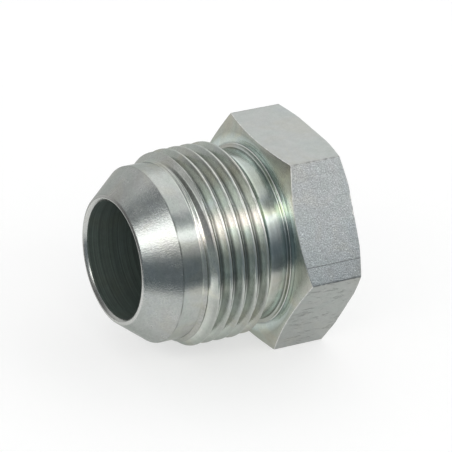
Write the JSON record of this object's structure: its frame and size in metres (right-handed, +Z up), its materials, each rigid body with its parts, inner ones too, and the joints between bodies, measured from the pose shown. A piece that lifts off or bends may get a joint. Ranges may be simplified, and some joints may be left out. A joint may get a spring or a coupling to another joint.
{
  "type": "hydraulic flare plug",
  "caption": "Hydraulic plug with a hexagon head, relieved neck, external thread, conical flare seat and a blind bore in the nose.",
  "frame": {"origin": "on the surface that the plug lies on, under the centre of its bounding box", "axes": "+Z up, plug axis along X with the nose towards -X and the head towards +X, one flat of the head down"},
  "size_m": [0.0332, 0.0366, 0.0318],
  "materials": {
    "zinc_plate": "clear passivated zinc plate, semi-bright"
  },
  "bodies": {
    "root": {"plug": "zinc_plate"}
  },
  "joints": []
}
